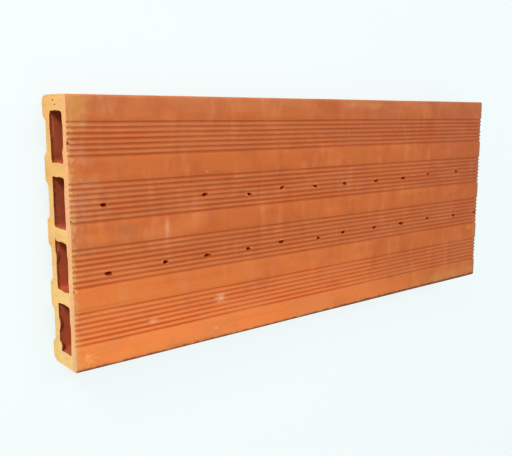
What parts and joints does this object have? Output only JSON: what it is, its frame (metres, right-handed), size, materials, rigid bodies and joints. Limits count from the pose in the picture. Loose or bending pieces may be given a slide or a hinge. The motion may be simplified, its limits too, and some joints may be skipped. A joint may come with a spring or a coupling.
{
  "type": "hollow clay roof slab",
  "caption": "Hollow extruded clay roof slab: rectangular cells run through its length, its face has bands of fine grooves with pierced vents, and its underside has shallow channels.",
  "frame": {"origin": "centre of the underside, on the plane of its flat pads", "axes": "+X along the cells, from the near end to the far end; +Y across the cells; +Z out of the grooved face"},
  "size_m": [0.5, 0.2, 0.04],
  "materials": {
    "fired_clay": "matte, unglazed"
  },
  "bodies": {
    "root": {"roof_slab": "fired_clay"}
  },
  "joints": []
}
